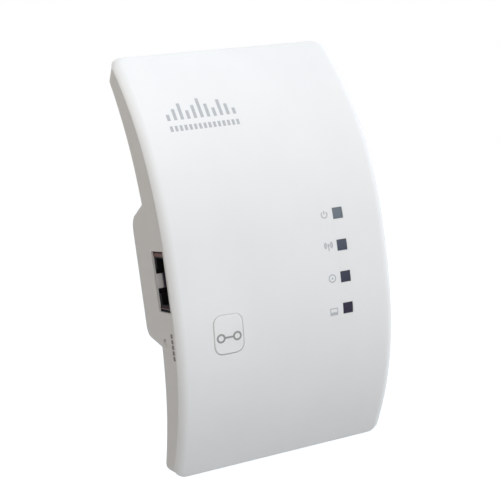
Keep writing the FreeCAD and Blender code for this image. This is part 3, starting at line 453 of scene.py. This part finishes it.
def cover_marks():
    """Pale signs beside the windows and a plain generic ornament at the top."""
    pale = printed("ink_pale", (0.46, 0.47, 0.49))
    signs = (power_sign, mast_sign, ring_sign, screen_sign)
    pitch = (GUIDE_HIGH.z - GUIDE_LOW.z) / MM / len(signs)
    top = GUIDE_HIGH.z / MM - pitch / 2.0
    for index, sign in enumerate(signs):
        mark("sign_" + str(index + 1), sign(PICTOGRAM_X, top - pitch * index), "front_cover", pale,
             "case")
    quads = []
    for index, height in enumerate(ORNAMENT_BARS):
        x = ORNAMENT_LEFT + index * BAR_PITCH
        foot = ORNAMENT_LOW + BAR_FOOT
        quads += bar(x, foot, x + BAR_WIDTH, foot + height, steps=5)
    for index in range(TICK_COUNT):
        x = ORNAMENT_LEFT + index * TICK_PITCH
        quads += bar(x, ORNAMENT_LOW + TICK_BOTTOM, x + TICK_WIDTH, ORNAMENT_LOW + TICK_TOP, steps=2)
    mark("ornament", quads, "front_cover", pale, "case")


def button_mark():
    """Generic link sign: two rings joined by a bar."""
    dark = printed("ink_dark", (0.30, 0.305, 0.29))
    x = (BUTTON_LOW.x + BUTTON_HIGH.x) / 2.0 / MM
    z = (BUTTON_LOW.z + BUTTON_HIGH.z) / 2.0 / MM - LINK_DROP
    quads = stroke(x - LINK_BAR, z, x + LINK_BAR, z, LINK_LINE)
    for side in (-1.0, 1.0):
        quads += arc(x + side * LINK_SPREAD, z, LINK_RADIUS, LINK_LINE, 0.0, 360.0)
    mark("button_sign", quads, "pairing_button", dark, "pairing_button")


def reset_mark():
    """Column of short dashes beside the reset hole."""
    dark = printed("ink_side", (0.10, 0.085, 0.08))
    middle = (RESET_LOW.z + RESET_HIGH.z) / 2.0 / MM
    quads = []
    for index in range(DASH_COUNT):
        low = middle + DASH_START + index * DASH_PITCH
        across = DASH_DEPTH - DASH_LEAN * index
        quads += stroke(across, low, across, low + DASH_LENGTH, DASH_WIDTH)
    mark("reset_dashes", quads, "rear_housing", dark, "case", aim="side")


# ---------------------------------------------------------------- network port

PORT_BAR = 0.14                 # the painted shade and highlight strips above and below the mouth stand out this far
PAINTED_STRIP_GAP = 0.01                 # and begin this far outside the jack's face
BLOCK_BREAK = 0.02               # size of the blocks' broken edges
PORT_ABOVE = (0.86, 0.44)       # heights of the painted warm shade strip and the painted shadow line over it
PORT_BELOW = (0.50, 0.12, 0.70)     # heights of the painted shadow strip, painted highlight edge and painted dark shade gap, downwards
MOUTH_HALF = 6.28               # half height of the jack's black moulding
PORT_SIDES = (0.5, 8.7)         # the painted strips' front and rear ends, behind the jack's front
LATCH_HALF = 1.85               # half height of the latch slot's floor
LATCH_DEPTH = (8.72, 8.86)      # its front and rear face, behind the jack's front
LATCH_REACH = (0.02, 2.7)       # where it begins and ends, inwards from the jack's mouth
LATCH_FADE = (1.2, 1.7)         # and where it darkens, as painted shade deeper in the slot
LATCH_PALE = (0.88, 0.86, 0.88)
# painted shade at the slot's inner end
LATCH_PAINTED_SHADE = (0.055, 0.042, 0.07)


def block(name, low, high, material):
    """Small block between two corners, in millimetres, with broken edges."""
    mesh = bmesh.new()
    bmesh.ops.create_cube(mesh, size=1.0)
    size = Vector(high) - Vector(low)
    middle = (Vector(high) + Vector(low)) / 2.0
    for vertex in mesh.verts:
        vertex.co = Vector(a * b for a, b in zip(vertex.co, size)) + middle
        vertex.co *= MM
    bmesh.ops.bevel(mesh, geom=mesh.edges[:], offset=BLOCK_BREAK * MM, segments=1, affect="EDGES")
    add_piece(name, mesh, material, "case")


def port_painted_strips():
    """Painted warm shade, painted shadow and painted highlight strips above and below the jack's mouth,
    and the pale floor of its latch slot, which darkens inwards as painted shade.
    """
    face, front = JACK_LOW.x / MM, JACK_LOW.y / MM
    middle = (JACK_LOW.z + JACK_HIGH.z) / 2.0 / MM
    # The case's opening walls are painted: a warm painted shade strip, a painted shadow line, a painted
    # highlight edge and a painted dark shade gap.
    painted_warm_shade = moulded("port_painted_warm_shade", (0.15, 0.068, 0.055), 0.5, specular=0.15)
    # dark is painted shadow, over the upper strip and under the mouth
    dark = moulded("port_painted_shadow", (0.045, 0.020, 0.022), 0.6, specular=0.03)
    painted_highlight = moulded("port_painted_highlight", (0.28, 0.22, 0.22), 0.4, specular=0.2)
    painted_dark_shade = moulded("port_painted_dark_shade", (0.004, 0.003, 0.004), 0.6, specular=0.03)
    near, far = face - PORT_BAR, face - PAINTED_STRIP_GAP
    start, end = front + PORT_SIDES[0], front + PORT_SIDES[1]
    foot = middle + MOUTH_HALF
    for name, height, material in zip(("port_upper_painted_shade", "port_upper_painted_shadow"), PORT_ABOVE, (painted_warm_shade, dark)):
        block(name, (near, start, foot), (far, end, foot + height), material)
        foot += height
    top = middle - MOUTH_HALF
    names = ("port_lower_painted_shadow", "port_lower_painted_highlight", "port_lower_painted_dark_shade")
    for name, height, material in zip(names, PORT_BELOW, (dark, painted_highlight, painted_dark_shade)):
        block(name, (near, start, top - height), (far, end, top), material)
        top -= height
    ends = [(face + inwards) * MM for inwards in LATCH_FADE]
    # the latch floor goes from pale plastic to painted shade inwards
    pale_to_painted_shade = graded("latch_floor_painted_shade", "X", ends, ((0.0, LATCH_PALE), (1.0, LATCH_PAINTED_SHADE)), 0.4)
    block("latch_floor_painted_shade", (face + LATCH_REACH[0], front + LATCH_DEPTH[0], middle - LATCH_HALF),
          (face + LATCH_REACH[1], front + LATCH_DEPTH[1], middle + LATCH_HALF), pale_to_painted_shade)


# ---------------------------------------------------------------- floor, world, lamp

FLOOR_DROP = 0.06                       # the floor lies this far below the part
FLOOR_HALF = 6.0
PAPER_SEEN = (0.96, 0.96, 0.96)         # what the camera and the gloss see
PAPER_BOUNCE = (0.365, 0.36, 0.355)     # what it throws back on the part
PAPER_GLOW = 0.30                       # lifts the paper to white where the camera sees it


def seen_directly(tree):
    """1 for rays of the camera and for what gloss and clear parts show."""
    path = tree.nodes.new("ShaderNodeLightPath")
    either = path.outputs["Is Camera Ray"]
    for name in ("Is Glossy Ray", "Is Transmission Ray"):
        larger = tree.nodes.new("ShaderNodeMath")
        larger.operation = "MAXIMUM"
        tree.links.new(either, larger.inputs[0])
        tree.links.new(path.outputs[name], larger.inputs[1])
        either = larger.outputs[0]
    return either


def paper_material():
    """Pale paper: white where it is seen, and a duller white where it lights the part."""
    material = bpy.data.materials.new("floor")
    material.use_nodes = True
    tree = material.node_tree
    tree.nodes.clear()
    new, link = tree.nodes.new, tree.links.new
    seen = seen_directly(tree)
    shade = new("ShaderNodeValToRGB")
    shade.color_ramp.elements[0].color = (*PAPER_BOUNCE, 1.0)
    shade.color_ramp.elements[1].color = (*PAPER_SEEN, 1.0)
    link(seen, shade.inputs["Fac"])
    paper = new("ShaderNodeBsdfDiffuse")
    link(shade.outputs["Color"], paper.inputs["Color"])
    strength = new("ShaderNodeMath")
    strength.operation = "MULTIPLY"
    strength.inputs[1].default_value = PAPER_GLOW
    link(seen, strength.inputs[0])
    glow = new("ShaderNodeEmission")
    link(strength.outputs[0], glow.inputs["Strength"])
    both = new("ShaderNodeAddShader")
    link(paper.outputs[0], both.inputs[0])
    link(glow.outputs[0], both.inputs[1])
    link(both.outputs[0], new("ShaderNodeOutputMaterial").inputs["Surface"])
    return material


def make_floor():
    """Large pale floor that keeps the part's shadow."""
    height = cad_box[0][2] - FLOOR_DROP
    corners = [(x * FLOOR_HALF, y * FLOOR_HALF, height) for x, y in ((-1, -1), (1, -1), (1, 1), (-1, 1))]
    data = bpy.data.meshes.new("floor")
    data.from_pydata(corners, [], [(0, 1, 2, 3)])
    floor = bpy.data.objects.new("floor", data)
    bpy.context.scene.collection.objects.link(floor)
    floor.data.materials.append(paper_material())


ROOM_LEVEL = (1.58, 1.56, 1.54)
ROOM_SLOPES = {                         # how the room's light changes towards the
    "X": (1.02, 1.12, 1.24),            # right
    "Y": (-0.63, -0.63, -0.64),         # wall
    "Z": (-1.24, -1.15, -1.06),         # ceiling
}


def make_world():
    """Soft room, brightest low in front and to the right; seen directly it is white."""
    world = bpy.data.worlds.new("studio")
    world.use_nodes = True
    tree = world.node_tree
    tree.nodes.clear()
    new, link = tree.nodes.new, tree.links.new
    axes = new("ShaderNodeSeparateXYZ")
    link(new("ShaderNodeTexCoord").outputs["Generated"], axes.inputs[0])

    def vector(operation, first, second):
        made = new("ShaderNodeVectorMath")
        made.operation = operation
        for socket, value in zip(made.inputs, (first, second)):
            if isinstance(value, bpy.types.NodeSocket):
                link(value, socket)
            else:
                socket.default_value = value
        return made

    light = ROOM_LEVEL
    for axis, slope in ROOM_SLOPES.items():
        share = vector("SCALE", slope, (0.0, 0.0, 0.0))
        link(axes.outputs[axis], share.inputs["Scale"])
        light = vector("ADD", light, share.outputs[0]).outputs[0]
    light = vector("MAXIMUM", light, (0.0, 0.0, 0.0)).outputs[0]
    room = new("ShaderNodeBackground")
    link(light, room.inputs["Color"])
    white = new("ShaderNodeBackground")
    white.inputs["Color"].default_value = (1.0, 1.0, 1.0, 1.0)
    mix = new("ShaderNodeMixShader")
    link(seen_directly(tree), mix.inputs["Fac"])
    link(room.outputs[0], mix.inputs[1])
    link(white.outputs[0], mix.inputs[2])
    output = new("ShaderNodeOutputWorld")
    link(mix.outputs[0], output.inputs["Surface"])
    bpy.context.scene.world = world


LAMP_PLACE = Vector((-0.16, -0.06, 0.22))
LAMP_TARGET = Vector((0.0, -0.03, 0.0))
LAMP_SIZE = 0.12
LAMP_POWER = 0.12
LAMP_COLOUR = (1.0, 0.985, 0.96)


def make_lamp():
    """Soft square lamp above and to the left, turned to the part."""
    data = bpy.data.lights.new("upper_left", "AREA")
    data.size = LAMP_SIZE
    data.energy = LAMP_POWER
    data.color = LAMP_COLOUR
    made = bpy.data.objects.new("upper_left", data)
    made.location = LAMP_PLACE
    made.rotation_euler = (LAMP_TARGET - LAMP_PLACE).to_track_quat("-Z", "Y").to_euler()
    bpy.context.scene.collection.objects.link(made)


bpy.context.scene.view_settings.view_transform = "Standard"
make_camera()
dress_nodes()
cover_marks()
button_mark()
reset_mark()
port_painted_strips()
make_floor()
make_world()
make_lamp()
